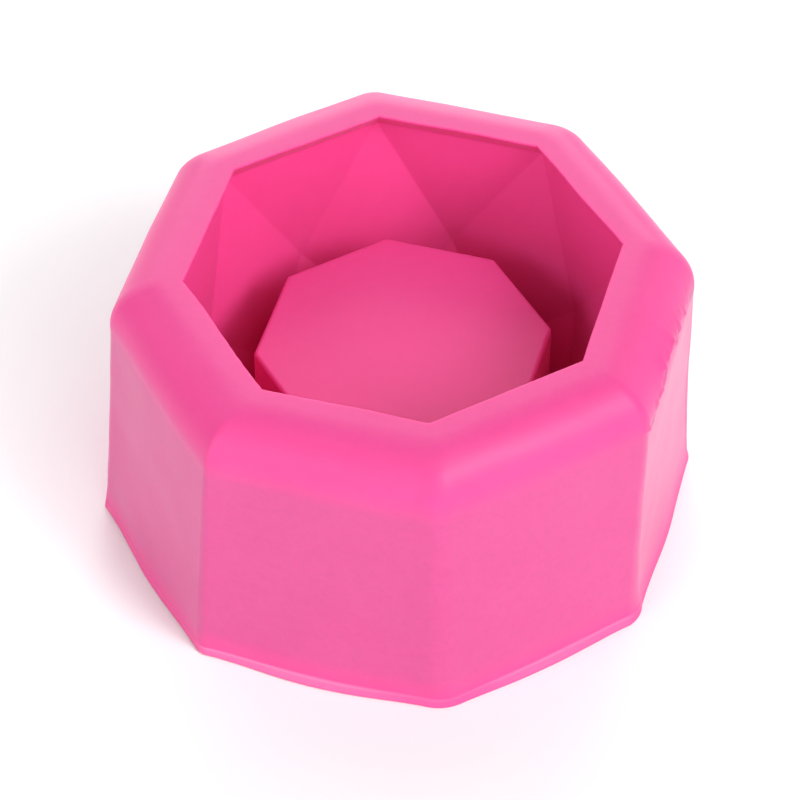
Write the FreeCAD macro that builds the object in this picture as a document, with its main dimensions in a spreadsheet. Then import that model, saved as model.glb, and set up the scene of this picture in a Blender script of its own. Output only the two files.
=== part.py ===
import FreeCAD, Part
import math
import os
import Sketcher

# Octagonal silicone casting mould with a lift-out core.
# The origin is the centre of the foot, +Z is up, and the flats of every octagon but the
# waist's face +X, +Y and the diagonals. Lengths are in millimetres, angles in degrees.

SIDES = 8
HALF_STEP = 180.0 / SIDES
FLATS_TO_AXES = HALF_STEP
CORNERS_TO_AXES = 0.0

# Radii of octagons reach their corners. Levels are heights above the foot.
DIMENSIONS = {
    "overall_height": 60.0,
    "foot_radius": 58.5,
    "top_radius": 55.9,
    "foot_bow": 1.4,
    "top_bow": 0.3,
    "outer_round": 10.1,
    "lip_radius": 59.6,
    "lip_height": 1.4,
    "lip_corner_round": 8.0,
    "mouth_radius": 41.3,
    "shoulder_radius": 43.9,
    "shoulder_level": 56.6,
    "waist_radius": 39.5,
    "waist_level": 28.7,
    "floor_radius": 32.4,
    "floor_level": 13.5,
    "core_radius": 28.8,
    "core_top_level": 39.3,
    "core_corner_round": 1.8,
    "core_top_round": 1.4,
    "socket_depth": 3.0,
    "socket_clearance": 0.2,
}


def make_sheet(doc):
    """The spreadsheet of driving dimensions, one alias a row."""
    sheet = doc.addObject("Spreadsheet::Sheet", "dims")
    for row, (alias, value) in enumerate(DIMENSIONS.items(), start=1):
        sheet.set(f"A{row}", alias)
        sheet.set(f"B{row}", str(value))
        sheet.setAlias(f"B{row}", alias)
    doc.recompute()
    return sheet


def corner_points(radius, first_angle):
    """The corners of a regular octagon about the origin."""
    angles = [math.radians(first_angle + 2 * HALF_STEP * k) for k in range(SIDES)]
    return [FreeCAD.Vector(radius * math.cos(a), radius * math.sin(a), 0) for a in angles]


def ground_plane(body):
    """The body's own horizontal origin plane."""
    return next(f for f in body.Origin.OriginFeatures if f.Role == "XY_Plane")


def octagon_sketch(body, name, radius, level="0", bow=None):
    """A regular octagon with flats facing the axes, its corners on a circle of the given
    radius. With a bow, each side is an arc that stands that far out from its chord."""
    sketch = body.newObject("Sketcher::SketchObject", name)
    sketch.AttachmentSupport = (ground_plane(body), [""])
    sketch.MapMode = "FlatFace"
    sketch.setExpression("AttachmentOffset.Base.z", level)

    start = sketch.evalExpression(radius)
    circle = sketch.addGeometry(Part.Circle(FreeCAD.Vector(), FreeCAD.Vector(0, 0, 1), start), True)
    sketch.addConstraint(Sketcher.Constraint("Coincident", circle, 3, -1, 1))
    circle_size = sketch.addConstraint(Sketcher.Constraint("Radius", circle, start))
    sketch.setExpression(f"Constraints[{circle_size}]", radius)

    points = corner_points(start, FLATS_TO_AXES)
    ends = points[1:] + points[:1]
    chords = [
        sketch.addGeometry(Part.LineSegment(a, b), bow is not None)
        for a, b in zip(points, ends)
    ]
    for chord, following in zip(chords, chords[1:] + chords[:1]):
        sketch.addConstraint(Sketcher.Constraint("Coincident", chord, 2, following, 1))
        sketch.addConstraint(Sketcher.Constraint("PointOnObject", chord, 1, circle))
    for chord in chords[1:]:
        sketch.addConstraint(Sketcher.Constraint("Equal", chords[0], chord))
    sketch.addConstraint(Sketcher.Constraint("Vertical", chords[-1]))
    if bow is not None:
        bow_sides(sketch, chords, points, ends, radius, bow)
    return sketch


def bow_sides(sketch, chords, points, ends, radius, bow):
    """Equal arcs over the octagon's chords."""
    chord_length = f"(2 * {radius} * sin({HALF_STEP} deg))"
    arc_radius = f"{chord_length} * {chord_length} / (8 * {bow}) + {bow} / 2"
    height = sketch.evalExpression(bow)
    arcs = []
    for chord, a, b in zip(chords, points, ends):
        middle = (a + b) * 0.5
        crown = middle + FreeCAD.Vector(middle).normalize() * height
        arc = sketch.addGeometry(Part.Arc(a, crown, b))
        sketch.addConstraint(Sketcher.Constraint("Coincident", arc, 1, chord, 1))
        sketch.addConstraint(Sketcher.Constraint("Coincident", arc, 2, chord, 2))
        arcs.append(arc)
    start = sketch.evalExpression(arc_radius)
    size = sketch.addConstraint(Sketcher.Constraint("Radius", arcs[0], start))
    sketch.setExpression(f"Constraints[{size}]", arc_radius)
    for arc in arcs[1:]:
        sketch.addConstraint(Sketcher.Constraint("Equal", arcs[0], arc))


def upright_edges(shape, least_rise, ceiling=math.inf):
    """Names of the edges that climb more than least_rise and stay under the ceiling."""
    names = []
    for number, edge in enumerate(shape.Edges, start=1):
        heights = [vertex.Z for vertex in edge.Vertexes]
        if max(heights) - min(heights) > least_rise and max(heights) < ceiling + 0.01:
            names.append(f"Edge{number}")
    return names


def edges_at_level(shape, level):
    """Names of the edges that lie wholly at one height."""
    names = []
    for number, edge in enumerate(shape.Edges, start=1):
        box = edge.BoundBox
        if abs(box.ZMin - level) < 0.01 and abs(box.ZMax - level) < 0.01:
            names.append(f"Edge{number}")
    return names


def fillet(body, name, base, edges, radius):
    """A rounding of the named edges of the feature before it."""
    feature = body.newObject("PartDesign::Fillet", name)
    feature.Base = (base, edges)
    feature.setExpression("Radius", radius)
    body.Document.recompute()
    return feature


def outer_block(doc, sheet):
    """The solid outside: eight slightly leaning, bowed walls with rounded corners and a
    large round all along the top edge, and a thin lip round the foot."""
    body = doc.addObject("PartDesign::Body", "outer_block")
    foot = octagon_sketch(body, "foot_outline", "dims.foot_radius", "0", "dims.foot_bow")
    top = octagon_sketch(
        body, "top_outline", "dims.top_radius", "dims.overall_height", "dims.top_bow"
    )
    doc.recompute()
    walls = body.newObject("PartDesign::AdditiveLoft", "walls")
    walls.Profile = top
    walls.Sections = [foot]
    walls.Ruled = True
    doc.recompute()

    edges = upright_edges(walls.Shape, sheet.overall_height / 2)
    edges += edges_at_level(walls.Shape, sheet.overall_height)
    rounded = fillet(body, "rounded_walls", walls, edges, "dims.outer_round")

    lip_outline = octagon_sketch(body, "lip_outline", "dims.lip_radius", "0", "dims.foot_bow")
    doc.recompute()
    lip = body.newObject("PartDesign::Pad", "foot_lip")
    lip.Profile = lip_outline
    lip.setExpression("Length", "dims.lip_height")
    doc.recompute()
    if lip.Shape.Volume <= rounded.Shape.Volume:
        raise RuntimeError("the foot lip added nothing")
    lip_corners = upright_edges(lip.Shape, sheet.lip_height / 2, sheet.lip_height)
    fillet(body, "lip_corners", lip, lip_corners, "dims.lip_corner_round")
    return body


def polygon(doc, name, radius, level, first_angle):
    """An octagonal wire at one level, its size bound to the sheet."""
    wire = doc.addObject("Part::RegularPolygon", name)
    wire.Polygon = SIDES
    wire.setExpression("Circumradius", radius)
    wire.Placement.Rotation = FreeCAD.Rotation(FreeCAD.Vector(0, 0, 1), first_angle)
    wire.setExpression(".Placement.Base.z", level)
    return wire


def frustum(doc, name, low, high, first_angle):
    """A solid between two octagons, each given as (radius, level)."""
    loft = doc.addObject("Part::Loft", name)
    loft.Sections = [
        polygon(doc, f"{name}_low", *low, first_angle),
        polygon(doc, f"{name}_high", *high, first_angle),
    ]
    loft.Solid = True
    loft.Ruled = True
    return loft


def facet_band(doc, name, ring, ring_level, ring_is_above):
    """A ring of sixteen triangular facets between an octagon and the waist, which is turned
    by half a side. Each set of eight facets lies on a frustum of its own, whose far octagon
    just touches the other ring's corners, and the band is what the two frusta share. The
    floor's radius continues the slope of the upper band's facets between waist corners, so
    that each of them and the one below it make one flat kite."""
    touching = f"cos({HALF_STEP} deg)"
    on_ring = (ring, ring_level), (f"dims.waist_radius / {touching}", "dims.waist_level")
    on_waist = (f"{ring} / {touching}", ring_level), ("dims.waist_radius", "dims.waist_level")
    if ring_is_above:
        on_ring = on_ring[::-1]
        on_waist = on_waist[::-1]
    band = doc.addObject("Part::Common", name)
    band.Base = frustum(doc, f"{name}_ring_side", *on_ring, FLATS_TO_AXES)
    band.Tool = frustum(doc, f"{name}_waist_side", *on_waist, CORNERS_TO_AXES)
    return band


def cavity(doc):
    """All that is hollow: the faceted cavity, its narrower mouth and the core's socket."""
    mouth = frustum(
        doc,
        "mouth",
        ("dims.shoulder_radius", "dims.shoulder_level"),
        ("dims.mouth_radius", "dims.overall_height"),
        FLATS_TO_AXES,
    )
    upper = facet_band(doc, "upper_facets", "dims.shoulder_radius", "dims.shoulder_level", True)
    lower = facet_band(doc, "lower_facets", "dims.floor_radius", "dims.floor_level", False)
    socket_radius = f"dims.core_radius + dims.socket_clearance / cos({HALF_STEP} deg)"
    socket = frustum(
        doc,
        "socket",
        (socket_radius, "dims.floor_level - dims.socket_depth"),
        (socket_radius, "dims.floor_level"),
        FLATS_TO_AXES,
    )
    hollow = doc.addObject("Part::MultiFuse", "hollow")
    hollow.Shapes = [mouth, upper, lower, socket]
    return hollow


def mould_body(doc, sheet):
    """The outer mould: the block less its hollow."""
    mould = doc.addObject("Part::Cut", "mould_body")
    mould.Base = outer_block(doc, sheet)
    mould.Tool = cavity(doc)
    return mould


def core_plug(doc):
    """The upright octagonal core, standing on the bottom of its socket."""
    body = doc.addObject("PartDesign::Body", "core_plug")
    outline = octagon_sketch(body, "core_outline", "dims.core_radius")
    doc.recompute()
    length = "dims.core_top_level - dims.floor_level + dims.socket_depth"
    column = body.newObject("PartDesign::Pad", "column")
    column.Profile = outline
    column.setExpression("Length", length)
    doc.recompute()
    upright = upright_edges(column.Shape, column.Length.Value / 2)
    corners = fillet(body, "core_corners", column, upright, "dims.core_corner_round")
    around_top = edges_at_level(corners.Shape, column.Length.Value)
    fillet(body, "core_top", corners, around_top, "dims.core_top_round")
    body.setExpression(".Placement.Base.z", "dims.floor_level - dims.socket_depth")
    return body


def check(doc, pieces):
    """Stops if any object failed or any sub-part has no valid solid."""
    for thing in doc.Objects:
        if {"Invalid", "Error"} & set(thing.State):
            raise RuntimeError(f"{thing.Name} is {thing.State}")
    for piece in pieces:
        shape = piece.Shape
        if shape.isNull() or not shape.isValid() or len(shape.Solids) != 1:
            raise RuntimeError(f"{piece.Label} has no single valid solid")


def main():
    doc = FreeCAD.newDocument("casting_mould")
    sheet = make_sheet(doc)
    pieces = [mould_body(doc, sheet), core_plug(doc)]
    doc.recompute()
    check(doc, pieces)
    overlap = pieces[0].Shape.common(pieces[1].Shape).Volume
    if overlap > 1e-3:
        raise RuntimeError(f"the core cuts {overlap} cubic mm into the mould")
    os.makedirs("parts", exist_ok=True)
    for piece in pieces:
        piece.Shape.exportStep(f"parts/{piece.Label}.step")
        box = piece.Shape.BoundBox
        print(
            f"{piece.Label}: {piece.Shape.Volume / 1000:.1f} cm3,"
            f" z {box.ZMin:.2f} to {box.ZMax:.2f}, {len(piece.Shape.Faces)} faces"
        )


main()
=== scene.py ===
"""The looks of the octagonal silicone casting mould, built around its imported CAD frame.

Lengths in the shape functions are millimetres, and MM turns them into the frame's metres.
Angles there are radians, counterclockwise from +X when seen from above. The camera's and the
lamps' are degrees."""

import math

import bpy
import numpy as np
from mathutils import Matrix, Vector, noise


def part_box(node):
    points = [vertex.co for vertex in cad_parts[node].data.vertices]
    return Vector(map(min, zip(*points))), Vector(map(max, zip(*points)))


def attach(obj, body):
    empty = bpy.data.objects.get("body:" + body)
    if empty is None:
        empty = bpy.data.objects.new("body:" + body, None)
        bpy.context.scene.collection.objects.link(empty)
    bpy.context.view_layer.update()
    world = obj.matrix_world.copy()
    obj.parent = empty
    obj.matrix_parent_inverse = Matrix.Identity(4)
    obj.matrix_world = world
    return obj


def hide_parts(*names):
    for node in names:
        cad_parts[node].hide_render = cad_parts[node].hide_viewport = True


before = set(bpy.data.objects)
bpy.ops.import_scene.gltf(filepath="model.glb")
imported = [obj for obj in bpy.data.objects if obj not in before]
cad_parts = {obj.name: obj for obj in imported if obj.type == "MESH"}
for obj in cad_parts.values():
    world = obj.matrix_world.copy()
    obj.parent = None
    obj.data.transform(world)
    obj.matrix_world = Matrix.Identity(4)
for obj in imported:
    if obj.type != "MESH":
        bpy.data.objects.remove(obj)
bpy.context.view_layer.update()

MM = 0.001
SIDES = 8
STEP = 2 * math.pi / SIDES
TAN = math.tan(STEP / 2)
COS = math.cos(STEP / 2)

mould_low, mould_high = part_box("mould_body")
core_low, core_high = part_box("core_plug")

# Driving sizes, from the frame where its boxes hold them.
HEIGHT = mould_high.z / MM
REACH = mould_high.x / MM
CORE_APOTHEM = core_high.x / MM
CORE_TOP = core_high.z / MM
SOCKET_LEVEL = core_low.z / MM

# The rest of the sizes. The walls' foot lies FOOT_INSET inside the frame's reach, and the walls
# lean in by DRAFT from foot to top. SOCKET_GAP is the space round the core's foot. CORE_CORNER
# and CORE_EDGE are how round the core's upright and upper edges are.
FOOT_INSET = 2.33
DRAFT = 2.4
FOOT_APOTHEM = REACH - FOOT_INSET
TOP_APOTHEM = FOOT_APOTHEM - DRAFT
EDGE_ROUND = 10.1
MOUTH_RADIUS = 41.3
MOUTH_APOTHEM = MOUTH_RADIUS * COS
SHOULDER_RADIUS = 43.9
SHOULDER_LEVEL = 56.6
WAIST_RADIUS = 39.5
WAIST_LEVEL = 28.7
SOCKET_DEPTH = 3.0
FLOOR_LEVEL = SOCKET_LEVEL + SOCKET_DEPTH
SOCKET_GAP = 0.2
SOCKET_APOTHEM = CORE_APOTHEM + SOCKET_GAP
CORE_CORNER = 1.3
CORE_EDGE = 0.8

# The sides and corners are numbered counterclockwise, from the side that faces +X and the corner
# after it. Apart from LIP_PROFILE, every list of eight below holds a value for each side or each
# corner in that order.
RIGHT = 0
FAR_LEFT = 4
FRONT = 6

# How round the walls' corners are, at the seam and at the foot, and how far each side bows out
# at the foot. The bow shrinks to LEAST_BOW up to the level BOW_REACH.
CORNER_ROUND = [5.0, 8.0, 6.0, 7.0, 4.0, 2.2, 6.0, 3.4]
FOOT_ROUND = [5.0, 8.0, 6.0, 7.0, 4.0, 3.6, 8.0, 7.0]
FOOT_BOW = [0.6, 1.0, 1.2, 1.2, 0.9, 0.75, 1.2, 0.3]
BOW_REACH = 26.0
LEAST_BOW = 0.3

# How far the lip round the foot stands out of each side, what share of that it loses at each
# corner, and how strong the painted highlight along it is on each side.
LIP_OUT = [0.05, 0.5, 0.6, 0.6, 0.1, 0.3, 1.0, 1.3]
LIP_EASED = [0.0, 0.0, 0.0, 0.0, 0.3, 0.6, 0.45, 0.3]
LIP_SHINE_SIDES = [0.0, 0.3, 0.3, 0.3, 0.2, 0.3, 1.0, 0.7]

# The lip's profile: what share of it stands out, and at which level.
LIP_PROFILE = [
    (0.93, 0.35),
    (0.72, 0.7),
    (0.48, 1.1),
    (0.3, 1.4),
    (0.28, 1.6),
    (0.2, 1.75),
    (0.03, 1.85),
    (0.0, 2.2),
]

# The corner between the left and far left walls has a swollen foot: how far it stands out, how
# far round from the corner it reaches, in radians, and how high.
FLARE_OUT = 0.45
FLARE_WIDTH = 0.25
FLARE_HEIGHT = 7.5

# How far each side of the mouth's edge lies outside its place, how much it wavers, and how wide
# the softened edge is.
MOUTH_OUT = [0.1, 0.2, 0.0, -0.1, -0.15, -0.1, 0.15, -0.05]
MOUTH_WAVER = [0.15, 0.5, 0.6, 1.1, 0.6, 0.9, 0.7, 0.2]
MOUTH_SOFT = 0.5

# The rubber is a little out of true: how far three of the waist's corners lie counterclockwise,
# outwards and up from their places.
WAIST_OUT_OF_TRUE = {1: (0.0, -0.55, -0.55), 2: (0.9, 0.3, 0.3), 3: (1.1, 0.5, 0.6)}

# Where the rounded top meets the wall there is a ragged seam, strong on some sides: its strength
# on each side, how far in the wall lies below it, and how coarse its lumps are.
SEAM_LEVEL = HEIGHT - EDGE_ROUND - 0.3
SEAM = [1.0, 0.2, 0.1, 0.3, 0.7, 0.0, 0.0, 0.0]
SEAM_STEP = 0.12
SEAM_LUMPS = 0.5

# On the right side the wall stands straight up past where the rounded top begins, by amounts
# given here from its front corner to its back corner, and the seam with it.
SEAM_RISE = [-0.5, 3.2, 4.0, 3.0, 0.0]

# How far the walls' corners lie from their places in X and Y, at the foot and at the seam, and
# how deep each side is hollow between the two.
FOOT_MOVED = np.array(
    [
        (-0.25, -0.85),
        (-0.75, -0.95),
        (-0.75, -0.95),
        (-0.75, -0.95),
        (-0.70, -0.65),
        (-2.95, 0.20),
        (0.80, -0.55),
        (-0.30, -0.10),
    ]
)
SEAM_MOVED = np.array(
    [
        (0.35, -1.0),
        (-0.2, -0.5),
        (0.1, -0.4),
        (0.3, -0.3),
        (0.35, 0.1),
        (-1.2, 0.0),
        (0.0, 0.0),
        (0.6, 0.6),
    ]
)
HOLLOW = np.array([0.85, 0.0, 0.0, 0.0, 0.0, 0.0, 0.0, 0.0])

# The rubber's colours, linear: inside, deeper, with the light that bounces round the cavity
# painted in; outside, duller from handling and paler with a painted sheen on the walls; the dark
# of the faint specks, which also paints the shade in the seam's pits; and the painted highlight
# on the lip.
INSIDE_DEEP = (0.770, 0.058, 0.262)
INSIDE_PALE = (0.805, 0.068, 0.286)
OUTSIDE_DEEP = (0.582, 0.070, 0.240)
OUTSIDE_PALE = (0.628, 0.084, 0.266)
SPECKS_AND_SHADE = (0.30, 0.055, 0.14)
LIP_SHINE_COLOUR = (0.78, 0.24, 0.45)

# How bright the studio's lamps are together: enough for the open floor to show as pure white.
BRIGHTNESS = 1.21

# How many columns of the mesh each side and each corner takes. Next to a crease CREASE_COLUMNS
# of them lie close together, over CREASE_WIDTH, and CREASE_PASSES of smoothing round it.
SIDE_COLUMNS = [84, 36, 36, 36, 60, 40, 40, 40]
CORNER_COLUMNS = 20
CREASE_COLUMNS = 3
CREASE_WIDTH = 0.45
CREASE_PASSES = 4

# The last rings outside, over the flat rim: how far each lies on the way from the ring before to
# the mouth's edge, and what share it keeps of the dullness and the painted sheen that goes with
# it.
RIM_RINGS = [(0.25, 1.0), (0.5, 1.0), (0.7, 0.8), (0.82, 0.4)]


# ---------------------------------------------------------------- rings of the octagon


def spread(length, count):
    """Fractions from 0 to 1 in count steps, short ones near both ends of the length."""
    fine = min(CREASE_WIDTH / CREASE_COLUMNS, length / count)
    coarse = (length - 2 * CREASE_COLUMNS * fine) / (count - 2 * CREASE_COLUMNS)
    steps = [fine] * CREASE_COLUMNS + [coarse] * (count - 2 * CREASE_COLUMNS)
    steps += [fine] * CREASE_COLUMNS
    return np.concatenate([[0.0], np.cumsum(steps)]) / length


def side_shares():
    """For each column, how much of it belongs to each side, how near it is to each corner and
    which way is out. A corner's columns turn and pass over from one side to the next."""
    shares = []
    nearness = []
    turns = []
    for k in range(SIDES):
        own = np.eye(SIDES)[k]
        following = np.eye(SIDES)[(k + 1) % SIDES]
        shares += [own] * SIDE_COLUMNS[k]
        turns += [k] * SIDE_COLUMNS[k]
        before = np.eye(SIDES)[k - 1]
        for place in spread(2 * TAN * TOP_APOTHEM, SIDE_COLUMNS[k])[:-1]:
            ease = place**2 * (3 - 2 * place)
            nearness.append(before * (1 - ease) + own * ease)
        nearness += [own] * CORNER_COLUMNS
        for j in range(CORNER_COLUMNS):
            part = j / CORNER_COLUMNS
            shares.append(own * (1 - part) + following * part)
            turns.append(k + part)
    angles = np.array(turns) * STEP
    outward = np.stack([np.cos(angles), np.sin(angles)], 1)
    return np.array(shares), np.array(nearness), outward


SHARES, NEARNESS, OUTWARD = side_shares()


def push_out(ring, amounts):
    """Moves a ring outwards by an amount for each side, or for each column."""
    amounts = np.asarray(amounts)
    if len(amounts) == SIDES:
        amounts = SHARES @ amounts
    ring[:, :2] += OUTWARD * amounts[:, None]
    return ring


def outline(apothem, corner_round, level, bow=None):
    """A ring with rounded corners, and its sides bowed out by bow[side] at their middles."""
    points = []
    rounds = corner_round if isinstance(corner_round, list) else [corner_round] * SIDES
    for k in range(SIDES):
        angle = k * STEP
        normal = np.array([math.cos(angle), math.sin(angle)])
        along = np.array([-math.sin(angle), math.cos(angle)])
        start = -TAN * (apothem - rounds[k - 1])
        end = TAN * (apothem - rounds[k])
        place = start + (end - start) * spread(end - start, SIDE_COLUMNS[k])[:-1]
        push = 0.0 if bow is None else bow[k]
        middle = (place - start) / (end - start)
        swell = push * np.sin(math.pi * middle) ** 2
        points.append(np.outer(apothem + swell, normal) + np.outer(place, along))

        turn = angle + STEP * np.arange(CORNER_COLUMNS) / CORNER_COLUMNS
        middle = angle + STEP / 2
        centre = (apothem - rounds[k]) / COS * np.array([math.cos(middle), math.sin(middle)])
        arc = np.stack([np.cos(turn), np.sin(turn)], 1) * rounds[k]
        points.append(centre + arc)
    flat = np.concatenate(points)
    return np.column_stack([flat, np.full(len(flat), level)])


def ring_corner(radius, k, level):
    """Corner k of an octagon whose flats face the axes."""
    angle = (k + 0.5) * STEP
    return np.array([radius * math.cos(angle), radius * math.sin(angle), level])


def waist_corner(k):
    """Corner k of the waist, in the middle of side k."""
    round_left, out, up = WAIST_OUT_OF_TRUE.get(k, (0.0, 0.0, 0.0))
    normal = np.array([math.cos(k * STEP), math.sin(k * STEP), 0.0])
    along = np.array([-normal[1], normal[0], 0.0])
    return normal * (WAIST_RADIUS + out) + along * round_left + [0.0, 0.0, WAIST_LEVEL + up]


def floor_corner(k, shoulder, waist):
    """Where the plane of kite k, through its upper three corners, reaches the floor."""
    following = waist[(k + 1) % SIDES]
    normal = np.cross(waist[k] - shoulder[k], following - shoulder[k])
    towards = ring_corner(1.0, k, 0.0)
    radius = (normal @ shoulder[k] - normal[2] * FLOOR_LEVEL) / (normal @ towards)
    return ring_corner(radius, k, FLOOR_LEVEL)


def soften_creases(points):
    """Rounds a closed row's corners over a few of its closest columns."""
    for _ in range(CREASE_PASSES):
        points = (np.roll(points, 1, 0) + 2 * points + np.roll(points, -1, 0)) / 4
    return points


def facet_row(ring, waist, share):
    """One row over the facets between a ring of corners, where share is 0, and the waist,
    where it is 1. Side k's columns lie on its triangle, and corner k's on its kite. A row
    stops just short of both, where half of its stretches would shrink to nothing."""
    share = min(max(share, 0.004), 0.988)
    points = []
    for k in range(SIDES):
        following = waist[(k + 1) % SIDES]
        before = ring[k - 1] + (waist[k] - ring[k - 1]) * share
        after = ring[k] + (waist[k] - ring[k]) * share
        beyond = ring[k] + (following - ring[k]) * share
        for start, end, count in (
            (before, after, SIDE_COLUMNS[k]),
            (after, beyond, CORNER_COLUMNS),
        ):
            place = spread(np.linalg.norm(end - start), count)[:-1, None]
            points.append(start + (end - start) * place)
    return soften_creases(np.concatenate(points))


def soften_profile(rings, at, reach):
    """Rounds the profile about ring number at, over reach rings each way."""
    first, middle, last = rings[at - reach], rings[at], rings[at + reach]
    for i in range(1, 2 * reach):
        u = i / (2 * reach)
        rings[at - reach + i] = (
            (1 - u) ** 2 * first + 2 * u * (1 - u) * middle + u**2 * last
        )


def closed_mesh(name, rings):
    """One closed skin: the rings joined in order, and its first and last rings each closed
    by a fan about their middle."""
    columns = len(rings[0])
    points = np.concatenate(rings + [rings[0].mean(0)[None], rings[-1].mean(0)[None]])
    first_middle = len(rings) * columns
    faces = []
    for i in range(len(rings) - 1):
        for j in range(columns):
            j2 = (j + 1) % columns
            a, b = i * columns + j, i * columns + j2
            faces.append((a, b, b + columns, a + columns))
    last = (len(rings) - 1) * columns
    for j in range(columns):
        j2 = (j + 1) % columns
        faces.append((first_middle, j2, j))
        faces.append((first_middle + 1, last + j, last + j2))
    mesh = bpy.data.meshes.new(name)
    mesh.from_pydata((points * MM).tolist(), [], faces)
    mesh.polygons.foreach_set("use_smooth", [True] * len(mesh.polygons))
    mesh.update()
    piece = bpy.data.objects.new(name, mesh)
    bpy.context.scene.collection.objects.link(piece)
    return piece


# ---------------------------------------------------------------- the two pieces


def wall_apothem(level):
    """How far the smooth walls lie from the axis at a level."""
    return FOOT_APOTHEM + (TOP_APOTHEM - FOOT_APOTHEM) * level / HEIGHT


def foot_bow(level):
    """How far each side still bows out at a level: most at the foot, little above it."""
    share = max(0.0, 1 - level / BOW_REACH) ** 2
    return [LEAST_BOW + (bow - LEAST_BOW) * share for bow in FOOT_BOW]


def waver(ring, fineness, seed):
    """Smooth noise, above and below zero, for each point of a ring."""
    place = ring * fineness + seed
    return np.array([noise.noise(Vector(point)) for point in place])


def wall_ring(level, inset=0.0, turn=0.0):
    """One ring of the outer walls, moved in by inset where turn, from 0 to a right angle,
    leads it over the rounded top."""
    apothem = wall_apothem(level) - inset
    up = min(1.0, level / SEAM_LEVEL)
    rounds = (1 - up) * np.array(FOOT_ROUND) + up * np.array(CORNER_ROUND)
    bow = [b * math.cos(turn) for b in foot_bow(level)]
    ring = outline(apothem, list(rounds * apothem / wall_apothem(level)), level, bow)
    moved = (1 - up) * FOOT_MOVED + up * math.cos(turn) * SEAM_MOVED
    ring[:, :2] += NEARNESS @ moved
    ring = push_out(ring, -HOLLOW * math.sin(math.pi * up**0.6) * math.cos(turn))
    swell = 0.25 * waver(ring, 0.045, 5.1) + 0.1 * waver(ring, 0.12, 9.4) - 0.1
    return push_out(ring, swell * math.cos(turn) + seam_relief(ring, level))


def seam_rise():
    """How far the seam lies above its level, for each column."""
    corner = NEARNESS[:, RIGHT]
    return SHARES[:, RIGHT] * np.interp(corner, np.linspace(0, 1, len(SEAM_RISE)), SEAM_RISE)


def seam_shade_at(ring):
    """How much painted shade darkens the seam's pits and crevices at each point of a ring, from
    0 to 1.
    """
    strength = SHARES @ np.array(SEAM)
    off = ring[:, 2] - SEAM_LEVEL - seam_rise()
    spread_up = 1.1 + 3.4 * SHARES[:, RIGHT] * NEARNESS[:, RIGHT] ** 3
    band = np.exp(-((off / np.where(off > 0, spread_up, 1.1)) ** 2))
    flecks = np.clip(5 * waver(ring, 0.8, 3.7) - 0.1, 0, 1)
    return strength * band * flecks


def seam_relief(ring, level):
    """How far the seam and what lies next to it stand out from the smooth wall. Below the
    seam the wall stands straight, and the rounded top takes over a little above it. The seam
    fades at the back corner of the right side."""
    strength = (SHARES @ np.array(SEAM)) * (1 - 0.8 * NEARNESS[:, RIGHT] ** 8)
    rise = seam_rise()
    along = ring * [1.0, 1.0, 0.0]
    ragged = SEAM_LEVEL + rise + 1.3 * waver(along, 0.35, 2.3) + 1.5 * waver(along, 0.8, 7.7)

    above = np.maximum(level - SEAM_LEVEL - rise, 0)
    past = min(max(level - (HEIGHT - EDGE_ROUND), 0), EDGE_ROUND) / EDGE_ROUND
    inset = EDGE_ROUND * (1 - math.sqrt(1 - past**2))
    straight = inset * np.clip(rise, 0, 1) * np.exp(-((above / 2.2) ** 2))
    below = np.clip((ragged - level) / 0.5, 0, 1)
    near = np.exp(-(((level - ragged - 0.5) / 1.2) ** 2))
    lumps = SEAM_LUMPS * near * waver(ring, 0.7, 4.6)
    return straight + strength * (lumps - SEAM_STEP * below)


def corner_flare(level):
    """How far the swollen foot of the corner after the far left side stands out."""
    turn = np.arctan2(OUTWARD[:, 1], OUTWARD[:, 0])
    away = (turn - (FAR_LEFT + 0.5) * STEP + math.pi) % (2 * math.pi) - math.pi
    rise = 0.5 + 0.5 * math.cos(math.pi * min(1.0, level / FLARE_HEIGHT))
    return FLARE_OUT * np.exp(-((away / FLARE_WIDTH) ** 2)) * rise


def outside_rings():
    """From the middle of the underside out to the foot, up the walls, over the rounded top
    and in to the edge of the mouth."""
    rings = []
    for apothem in (10.0, 24.0, 40.0, 51.0):
        ring = outline(apothem, apothem * 0.1, 0.0)
        ring[:, :2] += NEARNESS @ FOOT_MOVED
        rings.append(ring)
    lip = (SHARES @ np.array(LIP_OUT)) * (1 - NEARNESS**4 @ np.array(LIP_EASED))
    for inset, level in ((0.5, 0.0), (0.2, 0.05), (0.03, 0.15)):
        rings.append(push_out(wall_ring(level), lip - inset + corner_flare(level)))
    for share, level in LIP_PROFILE:
        rings.append(push_out(wall_ring(level), lip * share + corner_flare(level)))
    spring = HEIGHT - EDGE_ROUND
    levels = np.concatenate([np.arange(3.0, 46.4, 1.8), np.arange(46.6, spring, 0.3)])
    for level in levels:
        rings.append(push_out(wall_ring(level), corner_flare(level)))
    # Degrees over the rounded top, closer together in its lower part.
    turns = np.concatenate([np.arange(0, 38, 1.9), np.linspace(38, 90, 15)])
    for turn in np.radians(turns):
        level = spring + EDGE_ROUND * math.sin(turn)
        rings.append(wall_ring(level, EDGE_ROUND * (1 - math.cos(turn)), turn))
    edge = mouth_ring(MOUTH_SOFT)
    for share, _ in RIM_RINGS:
        rings.append(rings[-1] + (edge - rings[-1]) * share)
    return rings


def mouth_ring(out):
    """The mouth's edge, or a ring of the flat rim that lies out beyond it. The edge wavers,
    as a knife's cut does."""
    ring = push_out(outline(MOUTH_APOTHEM + out, 0.3, HEIGHT), MOUTH_OUT)
    swerve = 0.45 * waver(ring, 0.11, 1.9) + 0.14 * waver(ring, 0.5, 8.2)
    return push_out(ring, SHARES @ np.array(MOUTH_WAVER) * swerve)


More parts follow.
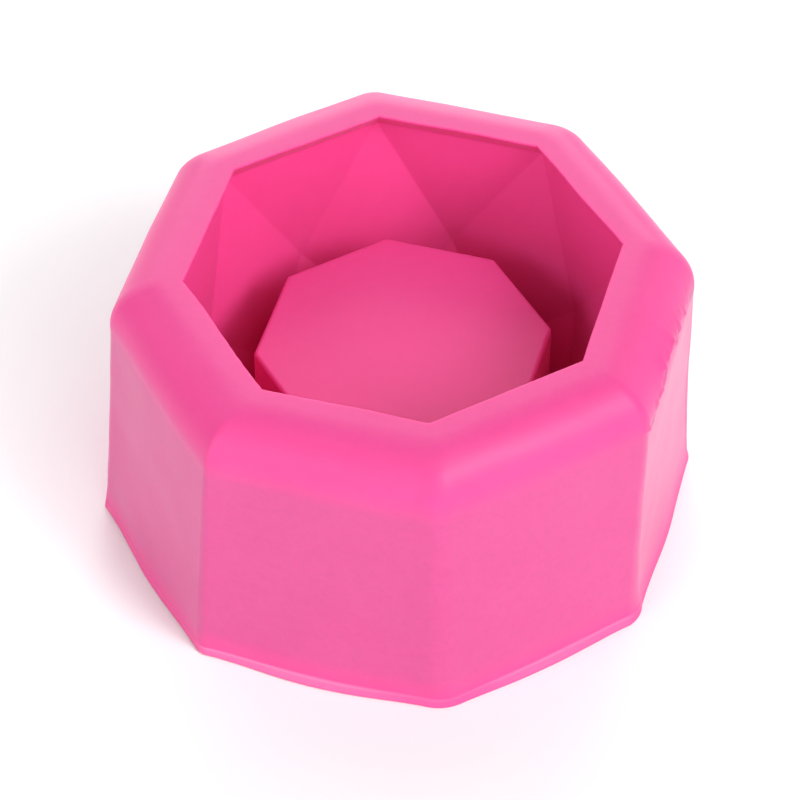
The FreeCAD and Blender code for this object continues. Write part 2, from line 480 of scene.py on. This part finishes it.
def inside_rings():
    """From the edge of the mouth down the facets to the floor and into the core's socket."""
    rings = []
    for share in (1.0, 2 / 3, 1 / 3, 0.0):
        rings.append(mouth_ring(MOUTH_SOFT * share))
    edge_at = len(rings) - 1
    shoulder = [ring_corner(SHOULDER_RADIUS, k, SHOULDER_LEVEL) for k in range(SIDES)]
    waist = [waist_corner(k) for k in range(SIDES)]
    floor = [floor_corner(k, shoulder, waist) for k in range(SIDES)]

    mouth = rings[-1]
    shoulder_row = facet_row(shoulder, waist, 0.0)
    for share in (0.05, 0.1, 0.15, 0.3, 0.5, 0.7, 0.88, 0.94, 1.0):
        rings.append(mouth + (shoulder_row - mouth) * share)
    shoulder_at = len(rings) - 1
    near, far = [0.01, 0.016, 0.03], [0.95, 0.968, 0.978]
    for share in near + list(np.linspace(0.06, 0.93, 18)) + far:
        rings.append(facet_row(shoulder, waist, share))
    waist_at = len(rings)
    far, near = [0.988, 0.975, 0.96, 0.94], [0.05, 0.03, 0.02, 0.01, 0.0]
    for share in far + list(np.linspace(0.9, 0.08, 10)) + near:
        rings.append(facet_row(floor, waist, share))
    floor_at = len(rings) - 1
    floor_row = rings[-1]
    socket_edge = outline(SOCKET_APOTHEM + 0.5, 0.6, FLOOR_LEVEL)
    for share in (0.05, 0.1, 0.3, 0.6, 0.85):
        rings.append(floor_row + (socket_edge - floor_row) * share)
    soften_profile(rings, edge_at, 3)
    soften_profile(rings, shoulder_at, 2)
    soften_profile(rings, waist_at, 2)
    soften_profile(rings, floor_at, 2)
    for out, level in ((0.5, 0.0), (0.25, 0.0), (0.0, 0.0), (0.0, -0.25), (0.0, -0.5)):
        rings.append(outline(SOCKET_APOTHEM + out, 0.6, FLOOR_LEVEL + level))
    soften_profile(rings, len(rings) - 3, 2)
    for apothem, level in (
        (SOCKET_APOTHEM, SOCKET_LEVEL + 0.4),
        (SOCKET_APOTHEM, SOCKET_LEVEL),
        (SOCKET_APOTHEM - 0.4, SOCKET_LEVEL),
        (18.0, SOCKET_LEVEL),
        (8.0, SOCKET_LEVEL),
    ):
        rings.append(outline(apothem, 0.6, level))
    return rings


def dull_and_light_at(level):
    """How dull from handling the rubber's outside is at a level, and with that how much painted
    sheen makes it paler: fully on the walls, hardly over the rounded top and half way on the
    flat rim."""
    top = HEIGHT - EDGE_ROUND
    levels = [1.0, 7.0, top - 2.0, top + 3.5, HEIGHT - 2.0, HEIGHT]
    return np.interp(level, levels, [0.2, 1.0, 1.0, 0.15, 0.2, 0.5])


def lip_shine_at(level):
    """How strong the painted highlight on the lip round the foot is at a level: most along its
    upper edge, and less at the corner after the front side."""
    lip_shine = np.interp(level, [0.1, 0.4, 1.3, 1.5, 1.75, 1.9], [0.0, 0.55, 0.45, 1.0, 0.9, 0.0])
    return (SHARES @ np.array(LIP_SHINE_SIDES)) * (1 - 0.6 * NEARNESS[:, FRONT] ** 6) * lip_shine


def mark(piece, name, rows):
    """Gives a piece's points a named value that its material reads, from one row of values
    for each ring."""
    values = np.concatenate(rows + [rows[0][:1], rows[-1][:1]])
    attribute = piece.data.attributes.new(name, "FLOAT", "POINT")
    attribute.data.foreach_set("value", values.astype(np.float32))


def make_mould():
    outside = outside_rings()
    inside = inside_rings()
    unmarked = [np.zeros(len(OUTWARD))] * len(inside)
    piece = closed_mesh("mould_skin", outside + inside)
    # Dullness from handling, which also carries painted light: a painted sheen that makes the
    # walls paler.
    dull_and_painted_light = [dull_and_light_at(ring[:, 2]) for ring in outside[: -len(RIM_RINGS)]]
    dull_and_painted_light += [kept_share * dull_and_painted_light[-1] for _, kept_share in RIM_RINGS]
    mark(piece, "dull_and_painted_light", dull_and_painted_light + unmarked)
    # Painted shade in the seam's pits and crevices.
    mark(piece, "seam_shade", [seam_shade_at(ring) for ring in outside] + unmarked)
    # A painted highlight along the lip.
    mark(piece, "lip_shine", [lip_shine_at(ring[:, 2]) for ring in outside] + unmarked)
    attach(piece, "mould")
    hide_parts("mould_body")
    return piece


def make_core():
    """The core's skin: an upright octagonal column with softly rounded edges, in rings from the
    middle of its underside to the middle of its top."""
    rings = []
    for apothem in (6.0, 16.0, CORE_APOTHEM - 0.6):
        rings.append(outline(apothem, CORE_CORNER, SOCKET_LEVEL))
    for inset, rise in ((0.2, 0.05), (0.0, 0.3)):
        rings.append(outline(CORE_APOTHEM - inset, CORE_CORNER, SOCKET_LEVEL + rise))
    for level in np.linspace(SOCKET_LEVEL + 1.5, CORE_TOP - CORE_EDGE - 0.4, 16):
        rings.append(outline(CORE_APOTHEM, CORE_CORNER, level))
    for turn in np.linspace(0, math.pi / 2, 9):
        inset = CORE_EDGE * (1 - math.cos(turn))
        level = CORE_TOP - CORE_EDGE + CORE_EDGE * math.sin(turn)
        rings.append(outline(CORE_APOTHEM - inset, CORE_CORNER - inset * 0.6, level))
    for apothem in (CORE_APOTHEM - 2 * CORE_EDGE, 22.0, 16.0, 10.0, 4.0):
        rings.append(outline(apothem, 1.0, CORE_TOP))
    piece = closed_mesh("core_skin", rings)
    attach(piece, "core")
    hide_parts("core_plug")
    return piece


# ---------------------------------------------------------------- material


class Graph:
    """Short ways to add the nodes of one material. Each returns the new node's output."""

    def __init__(self, material):
        self.nodes = material.node_tree.nodes
        self.links = material.node_tree.links
        self.place = self.nodes.new("ShaderNodeTexCoord").outputs["Object"]

    def cloud(self, scale, detail):
        """Noise of so many patches to the metre."""
        texture = self.nodes.new("ShaderNodeTexNoise")
        texture.inputs["Scale"].default_value = scale
        texture.inputs["Detail"].default_value = detail
        self.links.new(self.place, texture.inputs["Vector"])
        return texture.outputs["Fac"]

    def remap(self, value, low, high, to_low, to_high):
        """Stretches a value from one range to another, and keeps it inside that one."""
        node = self.nodes.new("ShaderNodeMapRange")
        self.links.new(value, node.inputs["Value"])
        node.inputs["From Min"].default_value = low
        node.inputs["From Max"].default_value = high
        node.inputs["To Min"].default_value = to_low
        node.inputs["To Max"].default_value = to_high
        return node.outputs["Result"]

    def calculate(self, operation, first, second):
        """A sum on a value and either another value or a plain number."""
        node = self.nodes.new("ShaderNodeMath")
        node.operation = operation
        self.links.new(first, node.inputs[0])
        if isinstance(second, float):
            node.inputs[1].default_value = second
        else:
            self.links.new(second, node.inputs[1])
        return node.outputs[0]

    def blend(self, share, first, second):
        """Passes over from the first colour to the second, each plain or another output."""
        node = self.nodes.new("ShaderNodeMix")
        node.data_type = "RGBA"
        self.links.new(share, node.inputs["Factor"])
        for socket, colour in ((node.inputs["A"], first), (node.inputs["B"], second)):
            if isinstance(colour, tuple):
                socket.default_value = (*colour, 1)
            else:
                self.links.new(colour, socket)
        return node.outputs["Result"]

    def marked(self, name):
        """A value that mark() gave to the piece's points."""
        node = self.nodes.new("ShaderNodeAttribute")
        node.attribute_name = name
        return node.outputs["Fac"]

    def grain(self, height, strength, depth):
        """A normal roughened by a height, which spans depth in metres."""
        bump = self.nodes.new("ShaderNodeBump")
        bump.inputs["Strength"].default_value = strength
        bump.inputs["Distance"].default_value = depth
        self.links.new(height, bump.inputs["Height"])
        return bump.outputs["Normal"]


def silicone():
    """Satin pink silicone rubber: a little light enters it, and its skin is faintly mottled.
    Outside, where it is handled, its colour is duller and its skin smoother, with faint
    specks, and the walls are paler with a painted sheen. Inside, the colour is deeper, with the
    light that bounces round the cavity painted in. Painted shade darkens the seam's pits, and a
    painted highlight lightens the lip."""
    material = bpy.data.materials.new("pink_silicone")
    material.use_nodes = True
    shader = material.node_tree.nodes["Principled BSDF"]
    shader.inputs["IOR"].default_value = 1.42
    shader.inputs["Specular IOR Level"].default_value = 0.3
    shader.inputs["Subsurface Weight"].default_value = 0.2
    shader.inputs["Subsurface Radius"].default_value = (1.0, 0.25, 0.4)
    shader.inputs["Subsurface Scale"].default_value = 1.5 * MM
    shader.inputs["Sheen Weight"].default_value = 0.08
    shader.inputs["Sheen Roughness"].default_value = 0.3

    graph = Graph(material)
    patches = graph.calculate("MULTIPLY", graph.cloud(60.0, 3.0), 0.55)
    mottle = graph.calculate("MULTIPLY", graph.cloud(420.0, 3.0), 0.45)
    tone = graph.remap(graph.calculate("ADD", patches, mottle), 0.2, 0.8, 0.0, 1.0)
    # Outside, the dullness from handling carries a painted sheen that makes the walls paler.
    # Inside, the colour is deeper, with the light that bounces round the cavity painted in.
    dull_and_painted_light = graph.marked("dull_and_painted_light")
    inside_colour = graph.blend(tone, INSIDE_DEEP, INSIDE_PALE)
    outside_colour = graph.blend(tone, OUTSIDE_DEEP, OUTSIDE_PALE)
    colour = graph.blend(dull_and_painted_light, inside_colour, outside_colour)

    # Faint dark specks on the handled outside, in the colour that also paints the seam's shade.
    specks = graph.remap(graph.cloud(800.0, 2.0), 0.5, 0.8, 0.0, 0.12)
    colour = graph.blend(graph.calculate("MULTIPLY", specks, dull_and_painted_light), colour, SPECKS_AND_SHADE)
    # Painted shade: the seam's pits and crevices darkened.
    colour = graph.blend(graph.calculate("MULTIPLY", graph.marked("seam_shade"), 0.6), colour, SPECKS_AND_SHADE)
    # Painted highlight on the lip round the foot.
    colour = graph.blend(graph.calculate("MULTIPLY", graph.marked("lip_shine"), 0.7), colour, LIP_SHINE_COLOUR)
    graph.links.new(colour, shader.inputs["Base Color"])

    rough = graph.remap(tone, 0.0, 1.0, 0.27, 0.33)
    more = graph.remap(dull_and_painted_light, 0.0, 1.0, 0.12, 0.0)
    graph.links.new(graph.calculate("ADD", rough, more), shader.inputs["Roughness"])

    normal = graph.grain(graph.cloud(900.0, 3.0), 0.3, 0.06 * MM)
    graph.links.new(normal, shader.inputs["Normal"])
    return material


# ---------------------------------------------------------------- camera, floor and light


def aim(thing, target):
    thing.rotation_euler = (Vector(target) - thing.location).to_track_quat("-Z", "Y").to_euler()


def make_camera():
    """The camera stands azimuth degrees round from -Y towards +X and elevation degrees up."""
    azimuth = math.radians(15.73)
    elevation = math.radians(46.3)
    distance = 0.6927
    aside = -0.0006
    height = 0.02274
    camera = bpy.data.objects.new("camera", bpy.data.cameras.new("camera"))
    bpy.context.scene.collection.objects.link(camera)
    right = Vector((math.cos(azimuth), math.sin(azimuth), 0))
    target = right * aside + Vector((0, 0, height))
    back = Vector(
        (
            math.cos(elevation) * math.sin(azimuth),
            -math.cos(elevation) * math.cos(azimuth),
            math.sin(elevation),
        )
    )
    camera.location = target + back * distance
    aim(camera, target)
    camera.data.sensor_width = 36.0
    camera.data.lens = 159.7
    camera.data.clip_start = 0.05
    bpy.context.scene.camera = camera


def plain_material(name, colour, roughness):
    material = bpy.data.materials.new(name)
    material.use_nodes = True
    shader = material.node_tree.nodes["Principled BSDF"]
    shader.inputs["Base Color"].default_value = (*colour, 1)
    shader.inputs["Roughness"].default_value = roughness
    return material


def make_floor():
    """A plain pale floor, just below the foot."""
    size = 3.0
    gap = 0.0002
    mesh = bpy.data.meshes.new("floor")
    corners = [(-size, -size, 0), (size, -size, 0), (size, size, 0), (-size, size, 0)]
    mesh.from_pydata(corners, [], [(0, 1, 2, 3)])
    floor = bpy.data.objects.new("floor", mesh)
    floor.location.z = -gap
    floor.data.materials.append(plain_material("pale_floor", (0.97, 0.97, 0.97), 0.7))
    bpy.context.scene.collection.objects.link(floor)


def soft_light(name, azimuth, elevation, strength, breadth=45.0):
    """A soft, far lamp in a direction given in degrees, breadth degrees across. Before
    BRIGHTNESS, a strength of 1 makes a white surface that faces it just white."""
    data = bpy.data.lights.new(name, "SUN")
    data.energy = math.pi * strength * BRIGHTNESS
    data.angle = math.radians(breadth)
    lamp = bpy.data.objects.new(name, data)
    bpy.context.scene.collection.objects.link(lamp)
    a, e = math.radians(azimuth), math.radians(elevation)
    towards = Vector((math.cos(e) * math.cos(a), math.cos(e) * math.sin(a), math.sin(e)))
    lamp.rotation_euler = (-towards).to_track_quat("-Z", "Y").to_euler()


def make_light():
    world = bpy.data.worlds.new("studio")
    world.use_nodes = True
    world.node_tree.nodes["Background"].inputs["Color"].default_value = (1, 1, 1, 1)
    world.node_tree.nodes["Background"].inputs["Strength"].default_value = 0.03
    bpy.context.scene.world = world
    soft_light("key", -21, 38, 0.335, 25.0)
    soft_light("high_front_right", -29, 50, 0.27)
    soft_light("high_back", 106, 50, 0.15)
    soft_light("high_left", 241, 50, 0.06)
    soft_light("low_front", -74, 18, 0.16)
    soft_light("low_right", -29, 18, 0.23)
    soft_light("low_right_back", 61, 18, 0.17)
    soft_light("low_back", 106, 18, 0.49)
    soft_light("low_left_back", 151, 18, 0.205)
    soft_light("low_left", 233, 16, 0.375)
    bpy.context.scene.view_settings.view_transform = "Standard"


make_camera()
make_floor()
make_light()
skin = silicone()
for piece in (make_mould(), make_core()):
    piece.data.materials.append(skin)
